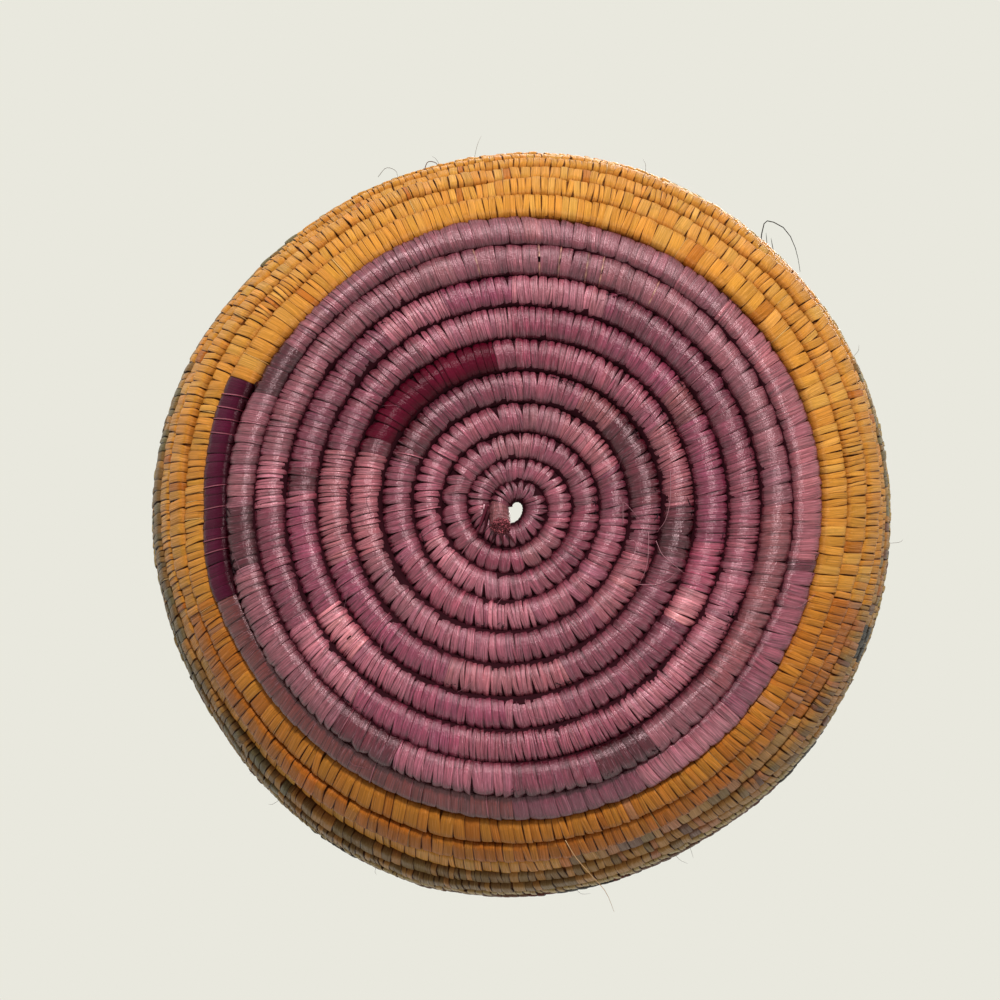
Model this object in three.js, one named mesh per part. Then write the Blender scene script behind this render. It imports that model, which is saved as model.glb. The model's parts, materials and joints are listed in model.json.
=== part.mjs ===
// A coiled basket. One bundle of grass stems, wrapped and sewn with flat dyed strand, lies in a
// spiral for the base and climbs in a rising spiral for the wall. Each row is one turn of that
// coil. All rows begin on one start line, where the sewer counts them, and each meets the next
// end to end there. Millimetres, +Z up, with the origin under the middle of the base.

import * as THREE from 'three';

// Thickness of the coil
const middleThickness = 4.05; // at the middle of the base, where the bundle is thin
const coilThickness = 6.9; // from the full bundle on
const rowGap = 0.55; // room between one row and the next
const thickeningTurns = 4.5; // turns that the bundle takes to reach its full thickness
const flatDepth = 0.5; // how deep the underside is pressed flat where the basket stands

// Shape of the base
const startRadius = 2.55; // middle of the coil at its very start
const dishDepth = 2.6; // how far the middle of the base is pushed up
const dishRadius = 42; // where the pushed-up middle runs out

// Shape of the wall, as slopes from level, in degrees, and the turns at which they are reached
const flatTurns = 8.8;
const shoulderTurns = 9.9;
const shoulderSlope = 33;
const bowlTurns = 11;
const bowlSlope = 41.5;
const flareTurns = 13;
const flareSlope = 58;
const uprightTurns = 19;
const uprightSlope = 89;
const rimTurns = 22.5;
const rimSlope = 100;

// Rows, counted along the coil
const startLine = 0.07; // turn at which every row begins
const baseRows = 10;
const orangeRows = 3;
const wallRows = 8;
const plumRun = 0.12; // share of the last base row that a plum strand covers
const maroonRun = 0.163; // share of the sixth base row that a maroon strand covers
const maroonRow = 6; // base row that the maroon strand begins
const tailTurns = 0.43; // length of the thinned end that closes the rim
const tailThickness = 1.8; // thickness at the tip of that end

// Cut end of the bundle, which stands out of the base beside its middle hole
const stubThickness = 4.4;
const stubRadius = 5.1; // how far it stands from the middle
const stubAngle = -60; // degrees around the base
const stubFloorGap = 0.3; // the cut face stays this far above the ground

// Fits and fineness
const endGap = 0.3; // between the end of one row and the start of the next
const stepsPerTurn = 24;
const sides = 6;
const profileSteps = 96; // integration steps in a turn

const fullTurn = 2 * Math.PI;
const radians = fullTurn / 360;

// Strand colours
const mauve = 0x7e4459;
const greyMauve = 0x7c5563;
const roseMauve = 0x96506a;
const magenta = 0x7a2f57;
const maroon = 0x5a0f30;
const plum = 0x4e1534;
const orange = 0xd18a2c;
const khaki = 0xa98a52;
const straw = 0xb39a6b;
const grass = 0x9a6b62;

function blendBetween(low, high, share) {
  return low + (high - low) * Math.min(1, Math.max(0, share));
}

// How thick the coil is at a turn
function thicknessAt(turn) {
  return blendBetween(middleThickness, coilThickness, turn / thickeningTurns);
}

// Slope of the basket's wall at a turn, from level, in radians
function slopeAt(turn) {
  const slopes = [
    [flatTurns, 0],
    [shoulderTurns, shoulderSlope],
    [bowlTurns, bowlSlope],
    [flareTurns, flareSlope],
    [uprightTurns, uprightSlope],
    [rimTurns, rimSlope],
  ];
  let slope = 0;
  for (let i = 1; i < slopes.length; i += 1) {
    const [fromTurn, fromSlope] = slopes[i - 1];
    const [toTurn, toSlope] = slopes[i];
    if (turn > fromTurn) {
      slope = blendBetween(fromSlope, toSlope, (turn - fromTurn) / (toTurn - fromTurn));
    }
  }
  return slope * radians;
}

// The coil's path, as radius and climb at each small step, summed along the slope
function sumProfile(turns) {
  const points = [{ radius: startRadius, climb: 0 }];
  const step = 1 / profileSteps;
  for (let i = 0; i < turns * profileSteps; i += 1) {
    const turn = (i + 0.5) * step;
    const advance = (thicknessAt(turn) + rowGap) * step;
    const last = points[i];
    points.push({
      radius: last.radius + advance * Math.cos(slopeAt(turn)),
      climb: last.climb + advance * Math.sin(slopeAt(turn)),
    });
  }
  return points;
}

const rowTurns = startLine + baseRows + orangeRows + wallRows + 1;
const profile = sumProfile(rowTurns + tailTurns + 1);

// How far the middle of the base is pushed up at a radius
function dishAt(radius) {
  const share = Math.min(1, radius / dishRadius);
  return dishDepth * (1 - share * share) ** 2;
}

// Middle of the coil at a turn, as radius and height
function middleAt(turn) {
  const place = turn * profileSteps;
  const index = Math.floor(place);
  const share = place - index;
  const radius = blendBetween(profile[index].radius, profile[index + 1].radius, share);
  const climb = blendBetween(profile[index].climb, profile[index + 1].climb, share);
  const seat = thicknessAt(turn) / 2 - flatDepth;
  return { radius, height: seat + climb + dishAt(radius), slope: slopeAt(turn) };
}

// One ring of points around the coil at a turn. The corners point at the rows on both sides,
// and whatever would reach below the ground is pressed flat.
function ringAt(turn, middle, thickness) {
  const angle = turn * fullTurn;
  const points = [];
  for (let side = 0; side < sides; side += 1) {
    const around = side / sides * fullTurn;
    const across = thickness / 2 * Math.cos(around);
    const outward = thickness / 2 * Math.sin(around);
    const radius = middle.radius + across * Math.cos(middle.slope) + outward * Math.sin(middle.slope);
    const height = middle.height + across * Math.sin(middle.slope) - outward * Math.cos(middle.slope);
    points.push([radius * Math.cos(angle), radius * Math.sin(angle), Math.max(0, height)]);
  }
  return points;
}

// A closed tube through rings of equal size, with a flat cap at both ends
function tubeThrough(rings) {
  const count = rings[0].length;
  const faces = [];
  for (let ring = 0; ring < rings.length - 1; ring += 1) {
    for (let side = 0; side < count; side += 1) {
      const next = (side + 1) % count;
      const low = ring * count;
      const high = low + count;
      faces.push(low + side, low + next, high + next);
      faces.push(low + side, high + next, high + side);
    }
  }
  const last = (rings.length - 1) * count;
  for (let side = 1; side < count - 1; side += 1) {
    faces.push(0, side + 1, side);
    faces.push(last, last + side, last + side + 1);
  }
  const geometry = new THREE.BufferGeometry();
  geometry.setAttribute('position', new THREE.Float32BufferAttribute(rings.flat(2), 3));
  geometry.setIndex(faces);
  geometry.computeVertexNormals();
  return geometry;
}

function strandMaterial(color, roughness) {
  return new THREE.MeshStandardMaterial({ color, roughness, metalness: 0, flatShading: true });
}

const basket = new THREE.Group();
basket.name = 'coiled_basket';

function addPiece(name, geometry, color, roughness) {
  const piece = new THREE.Mesh(geometry, strandMaterial(color, roughness));
  piece.name = name;
  basket.add(piece);
  return piece;
}

// A stretch of the coil from one turn to another, drawn back at each end by half the gap
function addStretch(name, fromTurn, toTurn, color, roughness = 0.6) {
  const trim = (turn) => endGap / 2 / (fullTurn * middleAt(turn).radius);
  const from = fromTurn === 0 ? 0 : fromTurn + trim(fromTurn);
  const to = toTurn - trim(toTurn);
  const steps = Math.ceil((to - from) * stepsPerTurn - 0.5);
  const rings = [];
  for (let step = 0; step <= steps; step += 1) {
    const turn = from + (to - from) * step / steps;
    rings.push(ringAt(turn, middleAt(turn), thicknessAt(turn)));
  }
  addPiece(name, tubeThrough(rings), color, roughness);
}

// Middle of the thinned end: it sinks on to the row below as it gets thinner
function tailMiddle(turn, thickness) {
  const below = middleAt(turn - 1);
  const reach = (thicknessAt(turn - 1) + thickness) / 2 + rowGap;
  const slope = (below.slope + middleAt(turn).slope) / 2;
  return {
    radius: below.radius + reach * Math.cos(slope),
    height: below.height + reach * Math.sin(slope),
    slope: middleAt(turn).slope,
  };
}

function addTail(name, fromTurn, color) {
  const from = fromTurn + endGap / 2 / (fullTurn * middleAt(fromTurn).radius);
  const steps = Math.ceil(tailTurns * stepsPerTurn);
  const rings = [];
  for (let step = 0; step <= steps; step += 1) {
    const turn = from + tailTurns * step / steps;
    const thickness = blendBetween(coilThickness, tailThickness, step / steps);
    rings.push(ringAt(turn, tailMiddle(turn, thickness), thickness));
  }
  addPiece(name, tubeThrough(rings), color, 0.6);
}

// The cut end of the bundle is a short peg under the first row
function addStub(name) {
  const turnUnder = 1 + stubAngle / 360;
  const row = middleAt(turnUnder);
  const underside = row.height - thicknessAt(turnUnder) / 2 * Math.cos(Math.PI / sides);
  const length = underside - endGap - stubFloorGap;
  const peg = new THREE.CylinderGeometry(stubThickness / 2, stubThickness / 2, length, 2 * sides);
  peg.rotateX(Math.PI / 2);
  const stub = addPiece(name, peg, grass, 0.85);
  stub.position.set(
    stubRadius * Math.cos(stubAngle * radians),
    stubRadius * Math.sin(stubAngle * radians),
    stubFloorGap + length / 2,
  );
}

// The smallest room between a row and the next, measured between points on the coil's middle one
// turn apart, less half the thickness of each
function leastRowGap() {
  let least = Infinity;
  for (let step = 0; step < (rowTurns - 1) * stepsPerTurn; step += 1) {
    const turn = step / stepsPerTurn;
    const inner = middleAt(turn);
    const outer = middleAt(turn + 1);
    const apart = Math.hypot(outer.radius - inner.radius, outer.height - inner.height);
    least = Math.min(least, apart - (thicknessAt(turn) + thicknessAt(turn + 1)) / 2);
  }
  return least;
}

// Pieces, from the middle of the base to the rim
const baseColours = [mauve, mauve, roseMauve, mauve, greyMauve, magenta, roseMauve, magenta, greyMauve, mauve];

function twoDigits(number) {
  return String(number).padStart(2, '0');
}

addStub('bundle_start');

for (let row = 1; row <= baseRows; row += 1) {
  let from = row === 1 ? 0 : row - 1 + startLine;
  let to = row + startLine;
  if (row === maroonRow) {
    addStretch('maroon_run', from, from + maroonRun, maroon, 0.3);
    from += maroonRun;
  }
  if (row === baseRows) {
    addStretch('plum_run', to - plumRun, to, plum, 0.3);
    to -= plumRun;
  }
  addStretch(`base_row_${twoDigits(row)}`, from, to, baseColours[(row - 1) % baseColours.length]);
}

for (let row = 1; row <= orangeRows; row += 1) {
  const from = baseRows + row - 1 + startLine;
  addStretch(`orange_row_${twoDigits(row)}`, from, from + 1, orange, 0.55);
}

for (let row = 1; row <= wallRows; row += 1) {
  const from = baseRows + orangeRows + row - 1 + startLine;
  addStretch(`wall_row_${twoDigits(row)}`, from, from + 1, row % 2 ? straw : khaki);
}

addStretch('rim_row', rowTurns - 1, rowTurns, orange, 0.55);
addTail('rim_tail', rowTurns, orange);

console.log(`least gap between the coil's rows: ${leastRowGap().toFixed(2)} mm`);

export default basket;
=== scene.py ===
# %% [markdown]
# # A coiled basket, sewn one wrap at a time
# The real basket is one long bundle of grass stems, wound into a spiral: flat for the base, then
# climbing for the wall. A flat strip of dyed raffia leaf goes round the bundle and through the row
# before it, a few thousand times. This lesson builds it in the same way. A formula gives the path of
# the bundle, short lists say which dyed strip is sewn where, and each wrap is a small closed band.
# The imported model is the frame: its rows say where every wrap has to lie.

# %% Load the fixed frame
import json
import math

import bpy
import numpy as np
from mathutils import Matrix, Vector


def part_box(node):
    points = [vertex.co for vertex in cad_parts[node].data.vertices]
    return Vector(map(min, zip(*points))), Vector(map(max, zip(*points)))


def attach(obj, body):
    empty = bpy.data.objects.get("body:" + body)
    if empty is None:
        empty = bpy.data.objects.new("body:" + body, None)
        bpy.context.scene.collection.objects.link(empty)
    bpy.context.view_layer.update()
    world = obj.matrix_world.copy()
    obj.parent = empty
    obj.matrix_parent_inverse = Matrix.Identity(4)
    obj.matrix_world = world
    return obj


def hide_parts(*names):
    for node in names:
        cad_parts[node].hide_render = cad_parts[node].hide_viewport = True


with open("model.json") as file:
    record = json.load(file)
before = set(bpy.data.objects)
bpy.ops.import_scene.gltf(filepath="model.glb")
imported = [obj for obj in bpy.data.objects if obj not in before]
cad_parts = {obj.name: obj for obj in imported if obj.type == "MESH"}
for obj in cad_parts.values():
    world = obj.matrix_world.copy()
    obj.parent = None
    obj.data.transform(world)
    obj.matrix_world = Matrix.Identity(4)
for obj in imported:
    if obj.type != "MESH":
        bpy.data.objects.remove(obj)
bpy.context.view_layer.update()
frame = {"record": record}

mm = 0.001

# %% [markdown]
# ## The path of the bundle
# A coil is easiest to think of in turns. The thickness of the coil and the slope of the wall are both
# given at a few turns, and the radius and the height follow from them by adding up small steps. The
# values are the frame's own driving sizes, so the path has to run through the middle of its rows, and
# the cell after it measures that it does.

# %% Driving sizes, in millimetres
middle_thickness = 4.05
coil_thickness = 6.9
row_gap = 0.55
thickening_turns = 4.5
flat_depth = 0.5
start_radius = 2.55
dish_depth = 2.6
dish_radius = 42
slope_turns = [0, 8.8, 9.9, 11, 13, 19, 22.5]
slope_degrees = [0, 0, 33, 41.5, 58, 89, 100]
start_line = 0.07
maroon_end = 5.233
plum_start = 9.9513
purple_turns = 10 + start_line
tail_start = 22 + start_line
tail_turns = 0.43
tail_thickness = 1.8
full_turn = 2 * math.pi

# %% Radius, height, slope and thickness at any turn
steps_per_turn = 96
step_turns = (np.arange(24 * steps_per_turn) + 0.5) / steps_per_turn


def slope_at(turn):
    return np.radians(np.interp(turn, slope_turns, slope_degrees))


def thickness_at(turn):
    return np.interp(turn, [0, thickening_turns], [middle_thickness, coil_thickness])


advance = (thickness_at(step_turns) + row_gap) / steps_per_turn
path_turns = np.arange(len(step_turns) + 1) / steps_per_turn
path_radius = start_radius + np.append(0, np.cumsum(advance * np.cos(slope_at(step_turns))))
path_climb = np.append(0, np.cumsum(advance * np.sin(slope_at(step_turns))))


def coil_at(turn):
    radius = np.interp(turn, path_turns, path_radius)
    dish = dish_depth * (1 - np.minimum(1, radius / dish_radius) ** 2) ** 2
    climb = np.interp(turn, path_turns, path_climb)
    thickness = thickness_at(turn)
    return radius, thickness / 2 - flat_depth + climb + dish, slope_at(turn), thickness


def path_at(turn):
    """The coil, and past the start of the tail the thinned end that sinks on to the row below."""
    radius, height, slope, thickness = coil_at(turn)
    share = np.clip((turn - tail_start) / tail_turns, 0, 1)
    thin = coil_thickness + (tail_thickness - coil_thickness) * share
    low_radius, low_height, low_slope, low_thickness = coil_at(turn - 1)
    reach = (low_thickness + thin) / 2 + row_gap
    lean = (low_slope + slope) / 2
    in_tail = turn > tail_start
    radius = np.where(in_tail, low_radius + reach * np.cos(lean), radius)
    height = np.where(in_tail, low_height + reach * np.sin(lean), height)
    return radius, height, slope, np.where(in_tail, thin, thickness)


# %% Compare the path with the frame, half a turn past the start of each row
row_families = [("base_row", 0, 10), ("orange_row", 10, 3), ("wall_row", 13, 8)]
row_starts = {
    f"{family}_{row + 1:02d}": first + row + start_line
    for family, first, count in row_families for row in range(count)
}
worst = 0
for node, start in row_starts.items():
    low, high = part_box(node)
    _, height, slope, thickness = path_at(start + 0.5)
    worst = max(worst, abs((low.z + high.z) / 2 / mm - height) - abs(math.sin(slope)) * thickness)
print(f"{len(row_starts)} rows compared: the path leaves the middle of none by over {worst:.2f} mm")

# %% [markdown]
# ## Never quite round
# No coil is drawn with compasses. The sewer's pull makes the rows swell and shrink a little, always in
# the same places, because each row follows the one before. Four slow waves round the basket give that,
# and where the wall starts to climb they give way to four others, which make the mouth a little oval.
# The waves together stay near a millimetre on the base and near two on the wall. From the last rows of
# the base on, the sewer also pulled single stretches in or let them out, by as much as three
# millimetres, and on one side the wall starts to climb earlier, by as much as four.

# %% Unevenness of the coil
drawn_in = ([0, 3.5, 8.5, 9.5, 11.5, 12.5, 14.5, 22], [0, 0.4, 0.3, -0.45, -0.45, -0.6, -0.9, -0.5])
waves = [
    (1, -100, [0, 2, 4, 8, 9.5, 10.5], [0.2, 0.75, 0.3, 0.2, 0.3, 0]),
    (2, -55, [0, 2, 9.5, 10.5], [0.1, 0.3, 0.35, 0]),
    (3, 100, [0, 2, 9.5, 10.5], [0.1, 0.18, 0.3, 0]),
    (4, -60, [8, 9, 9.5, 10.5], [0, 0.2, 0.2, 0]),
    (1, 75, [9.5, 10.5, 11.5, 12.5, 14.5, 22], [0, 0.15, 0.45, 0.85, 0.95, 0.8]),
    (2, -28, [9.5, 10.5, 11.5, 12.5, 14.5, 22], [0, 0.6, 0.85, 1.05, 0.45, 0.4]),
    (3, 28, [9.5, 10.5, 12.5, 14.5, 22], [0, 0.55, 0.65, 0.65, 0.4]),
    (4, 94, [9.5, 10.5, 12.5, 14.5, 22], [0, 0.5, 0.7, 0.6, 0.2]),
]
print(len(waves), "waves, each with its count, its phase in degrees, and its size at a few turns")

# %% Stretches that were pulled in or let out: turn, millimetres outwards
pulls = [
    (8.56, 0), (8.60, 0.4), (8.64, 0.35), (8.70, 0.2), (8.74, 0), (9.58, 0), (9.62, 0.3), (9.68, 0),
    (9.94, 0), (9.96, 0.6), (9.975, 0), (10.0, -0.8), (10.03, -0.7), (10.05, -0.3), (10.09, -0.4),
    (10.125, -0.75), (10.14, -0.45), (10.167, 0), (10.19, 0.45), (10.23, 0.1), (10.26, 0), (10.30, -0.6),
    (10.33, -0.9), (10.355, -0.85), (10.375, -0.1), (10.41, 0.6), (10.43, 1.1), (10.47, 1.2), (10.50, 0.8),
    (10.53, 0), (10.56, -0.45), (10.60, -0.4), (10.63, -0.1), (10.66, 0.6), (10.70, 0.9), (10.78, 0.9),
    (10.84, 0.5), (10.90, 0.1), (10.96, -0.1), (10.975, -0.6), (11.0, -1.6), (11.04, -1.8), (11.07, -1.3),
    (11.13, -0.7), (11.167, 0), (11.19, 0.4), (11.235, -0.6), (11.26, -0.1), (11.30, -1.0), (11.34, -1.65),
    (11.36, -1.6), (11.39, 0), (11.42, 1.1), (11.48, 1.4), (11.505, 0.6), (11.54, -0.9), (11.58, -1.6),
    (11.61, -1.35), (11.64, 0), (11.67, 0.9), (11.70, 1.6), (11.77, 1.9), (11.82, 1.5), (11.87, 1.1),
    (11.92, 0), (11.96, -1.0), (12.0, -1.3), (12.04, -0.7), (12.13, -0.5), (12.17, 0.7), (12.20, 0.9),
    (12.24, -0.3), (12.29, -0.8), (12.34, -1.5), (12.365, -1.1), (12.39, 1.0), (12.42, 1.4), (12.48, 1.5),
    (12.52, 0), (12.56, -2.2), (12.60, -2.1), (12.64, -0.8), (12.68, 0.2), (12.73, 1.2), (12.77, 1.2),
    (12.81, 0.5), (12.85, -0.8), (13.0, -1.0), (13.2, 0),
]

# %% Pulls that the upper wall repeats in every row: share of the round, millimetres outwards
rim_pulls = [
    (0, 0), (0.11, -0.8), (0.14, -0.3), (0.18, 0.5), (0.25, 0), (0.30, -1.0), (0.33, -1.6), (0.375, -1.7),
    (0.40, -1.3), (0.45, -0.5), (0.54, -1.2), (0.57, -1.5), (0.62, -0.7), (0.67, -0.2), (0.72, 1.6),
    (0.79, 3.0), (0.84, 2.2), (0.90, 0.8), (1, 0),
]
rim_pull_start = 12.6
rim_pull_ease = 1.6
ripple_size = 0.06
ripple_count = 23
early_side = ([0.62, 0.70, 0.90, 0.98], [0, 1, 1, 0])
early_climb = ([8.8, 9.7, 10.2, 11.3, 19], [0, 2.4, 2.8, 4.2, 0])


def coil_wobble(turn):
    """How far the coil strays outwards and upwards from the path, in millimetres."""
    around = turn * full_turn
    out = np.interp(turn, *drawn_in) + ripple_size * np.sin(ripple_count * around + 3 * turn)
    for count, phase, at_turns, sizes in waves:
        out = out + np.interp(turn, at_turns, sizes) * np.cos(count * around - math.radians(phase))
    out = out + np.interp(turn, *zip(*pulls))
    rim_share = np.clip((turn - rim_pull_start) / rim_pull_ease, 0, 1)
    out = out + np.interp(turn % 1, *zip(*rim_pulls)) * rim_share
    mouth = 0.5 * np.sin(2 * around + 0.6) + 0.35 * np.cos(3 * around)
    rise = np.interp(turn, [0, 9, 22], [0, 0, 1]) * mouth
    rise = rise + np.interp(turn, *early_climb) * np.interp(turn % 1, *early_side)
    return out, rise


# %% [markdown]
# ## Dyed raffia
# Raffia is the skin of a young palm leaf, torn into flat strips. It takes dye unevenly: two strips from
# one pot differ, and the dye fades first where the strip is rubbed. So a dye here is one named colour,
# written as sRGB hex, and every single wrap gets a shade of its own near it.

# %% Dyes
def linear(hex_colour):
    """An sRGB hex colour as linear red, green and blue."""
    channels = np.array([int(hex_colour[place:place + 2], 16) for place in (1, 3, 5)]) / 255
    return np.where(channels <= 0.04045, channels / 12.92, ((channels + 0.055) / 1.055) ** 2.4)


dyes = {
    "mauve": "#7D3D4E",
    "brown_mauve": "#82464C",
    # This dark red-brown is used only for the run before the plum, where it is partly painted shade.
    "russet_painted_shade": "#652621",
    "grey_mauve": "#854D58",
    "rose_mauve": "#904A5B",
    "pink_mauve": "#985465",
    "tan_rose": "#9D5A64",
    "rose": "#7B3247",
    "pink": "#AC6775",
    "salmon": "#C87E88",
    "magenta": "#833851",
    "bright_magenta": "#9B475E",
    "plum_mauve": "#713244",
    "slate_plum": "#571A29",
    "slate": "#440919",
    "maroon": "#5A0A24",
    "plum": "#50062C",
    "gold": "#CDA088",
    "orange": "#D8943C",
    "light_orange": "#DD9F49",
    # Amber is used only for the painted shade on one side of the first wall rows.
    "amber": "#CC8230",
    "burnt_orange": "#BE7026",
    "pink_tan": "#BA7F55",
    "khaki": "#BB8A4E",
    "olive": "#8E7046",
    "straw": "#C0A56D",
    "grass_green": "#7C7052",
    "mauve_brown": "#80604F",
    "red_brown": "#6C3327",
    "black": "#2B2521",
}
dye_colours = {name: linear(hex_colour) for name, hex_colour in dyes.items()}
print(len(dyes), "dyes")

# %% [markdown]
# ## Which strip is sewn where
# On the base the sewer used up strips of many purples, one after the other, so the list simply follows
# the coil outwards: the turn where a strip's run ends, its dye, and how wide one wrap of it is. Fine
# wraps are strips that were torn narrower. The maroon run in the sixth row and the plum run, the last
# one before the orange, are the two glossy ones.

# %% Runs on the base: end of the run in turns, dye, width of a wrap in millimetres
base_runs = [
    (0.12, "plum_mauve", 0.9), (0.58, "plum_mauve", 0.95), (0.80, "mauve", 1.4), (1.20, "mauve", 1.2),
    (1.36, "mauve", 1.5), (1.46, "rose_mauve", 1.3), (1.60, "rose_mauve", 1.7), (1.72, "grey_mauve", 2.6),
    (1.85, "rose", 2.8), (2.20, "mauve", 2.2), (2.30, "grey_mauve", 1.7), (2.50, "mauve", 1.7),
    (2.66, "rose", 1.9), (2.73, "rose_mauve", 2.1), (2.84, "pink_mauve", 2.5), (2.94, "pink", 1.3),
    (3.07, "rose_mauve", 1.7), (3.27, "rose_mauve", 1.9), (3.34, "grey_mauve", 1.7),
    (3.445, "tan_rose", 1.3), (3.52, "plum_mauve", 1.7), (3.60, "rose_mauve", 1.6),
    (3.72, "pink_mauve", 2.0), (3.785, "pink", 0.9), (3.95, "rose_mauve", 1.8), (4.065, "mauve", 1.4),
    (4.13, "slate_plum", 1.8), (4.24, "plum_mauve", 1.6), (4.31, "rose_mauve", 1.7), (4.34, "mauve", 1.7),
    (4.39, "brown_mauve", 1.5), (4.425, "slate", 2.2), (4.50, "slate_plum", 1.8), (4.56, "mauve", 1.1),
    (4.645, "tan_rose", 1.6), (4.75, "mauve", 1.6), (4.87, "pink_mauve", 1.7), (4.95, "grey_mauve", 1.6),
    (5.058, "tan_rose", 1.2), (5.10, "maroon", 3.0), (maroon_end, "maroon", 1.9), (5.30, "rose", 1.9),
    (5.42, "rose_mauve", 1.2), (5.50, "tan_rose", 0.9), (5.515, "slate_plum", 0.9), (5.55, "slate", 2.4),
    (5.60, "plum_mauve", 2.0), (5.70, "mauve", 1.7), (5.81, "tan_rose", 1.2), (5.95, "magenta", 1.7),
    (6.05, "tan_rose", 1.0), (6.12, "plum_mauve", 1.5), (6.17, "mauve", 1.6), (6.25, "pink_mauve", 1.1),
    (6.33, "rose", 1.4), (6.40, "magenta", 1.5), (6.43, "brown_mauve", 0.9), (6.53, "magenta", 1.4),
    (6.57, "bright_magenta", 1.3), (6.598, "salmon", 1.3), (6.65, "plum_mauve", 1.9), (6.71, "mauve", 1.8),
    (6.755, "pink_mauve", 1.5), (6.83, "magenta", 1.8), (6.88, "pink_mauve", 1.3), (6.92, "salmon", 1.2),
    (7.00, "magenta", 1.7), (7.012, "pink_mauve", 1.2), (7.03, "slate_plum", 1.3),
    (7.15, "plum_mauve", 1.6), (7.20, "pink", 1.0), (7.25, "magenta", 1.6), (7.32, "pink", 1.5),
    (7.47, "plum_mauve", 2.3), (7.54, "rose_mauve", 1.0), (7.58, "pink_mauve", 1.6), (7.67, "pink", 1.0),
    (7.785, "rose_mauve", 0.9), (7.86, "magenta", 2.2), (7.92, "pink", 1.2), (8.00, "plum_mauve", 1.7),
    (8.03, "pink", 0.9), (8.19, "grey_mauve", 1.3), (8.36, "grey_mauve", 3.4), (8.50, "grey_mauve", 3.9),
    (8.62, "brown_mauve", 3.4), (8.665, "grey_mauve", 3.0), (8.70, "slate", 3.2), (8.75, "plum_mauve", 3.0),
    (8.82, "pink_mauve", 2.2), (8.86, "slate_plum", 2.6), (8.93, "grey_mauve", 2.6),
    (8.965, "grey_mauve", 1.4), (9.00, "slate", 2.0), (9.068, "grey_mauve", 2.6), (9.10, "slate", 3.4),
    (9.13, "grey_mauve", 1.6), (9.21, "grey_mauve", 1.4), (9.38, "grey_mauve", 3.6),
    (9.39, "tan_rose", 1.0), (9.53, "tan_rose", 2.9), (9.536, "slate_plum", 2.4), (9.62, "rose_mauve", 2.9),
    # The run before the plum lies where a cast shadow falls; its dark red-brown stands partly for that
    # shade.
    (9.68, "pink", 2.4), (9.75, "plum_mauve", 3.4), (plum_start, "russet_painted_shade", 3.0),
    (purple_turns, "plum", 2.6),
]
print(len(base_runs), "runs of dyed strip on the base")

# %% [markdown]
# On the wall one colour is sewn over several rows, and the next begins at a stepped line. The orange
# field reaches highest on one side. On the other side its first rows are painted a deeper amber and
# burnt orange, as painted shade. Above it come undyed strips with one small black mark, one pale row,
# and a band of brown with a common stepped figure in black, repeated round the basket. The rim is
# orange, ticked with plum.

# %% Fields of colour on the wall, in turns and in shares of the round
orange_top = (
    [0.0, 0.10, 0.25, 0.40, 0.47, 0.53, 0.56, 0.70, 0.74, 0.86, 1.0],
    [13.0, 14.6, 16.6, 15.6, 15.2, 14.0, 12.7, 12.4, 12.9, 13.0, 13.0],
)
amber_end = 10.98
shaded_orange_end = 12.6
olive_start = 13.6
mark_start = 14
pale_row = 15.6
band_start = 16.6
band_end = 19.6
rim_start = 21 + start_line
# The side whose first orange rows carry painted shade, in shares of the round.
shaded_side = (0.54, 0.95)
mark_side = (0.548, 0.565)
mixed_side = (0.5, 0.72)
olive_side = (0.5, 0.86)
figure_count = 9
figure_half = 0.24
figure_edge = 0.32
figure_step = 0.13
tick_count = 14
tick_share = 0.22


def between(share, side):
    return side[0] < share < side[1]


def pick(draw, limits, names):
    """The name in whose part of the range from 0 to 1 the draw falls."""
    return names[np.searchsorted(limits, draw)]


def band_dye(turn, share):
    """Black figures with a red-brown edge, which narrow by steps above and below their middle."""
    inside = abs((share * figure_count) % 1 - 0.5)
    step = math.floor(abs(turn - (band_start + band_end) / 2) * 2) / 2
    if inside < figure_half - figure_step * step:
        return "black"
    return "red_brown" if inside < figure_edge - figure_step * step else "mauve_brown"


def wall_dye(turn, draw):
    """The dye of the wrap at a turn of the wall. The draw, from 0 to 1, picks among near shades."""
    share = turn % 1
    if turn > rim_start:
        in_tick = (share * tick_count) % 1 < tick_share
        return "plum" if in_tick else pick(draw, [0.3], ["burnt_orange", "orange"])
    if turn < np.interp(share, *orange_top):
        # Painted shade: on the shaded side the first rows take deeper oranges.
        if between(share, shaded_side) and turn < shaded_orange_end:
            shaded_dye = "amber" if turn < amber_end else "burnt_orange"
            return pick(draw, [0.02, 0.1, 0.25], ["pink_tan", "burnt_orange", "amber", shaded_dye])
        return pick(draw, [0.004, 0.03, 0.22], ["pink_tan", "burnt_orange", "light_orange", "orange"])
    if turn < pale_row:
        if between(share, mark_side) and turn > mark_start:
            return "black"
        if between(share, mixed_side):
            return pick(draw, [0.05, 0.22, 0.32], ["mauve_brown", "pink_tan", "olive", "khaki"])
        if between(share, olive_side):
            return "burnt_orange" if turn < olive_start else pick(draw, [0.3], ["khaki", "olive"])
        return pick(draw, [0.3, 0.5], ["grass_green", "khaki", "olive"])
    if turn < band_start:
        return "straw"
    if turn < band_end:
        return band_dye(turn, share)
    return pick(draw, [0.6], ["straw", "khaki"])
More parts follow.
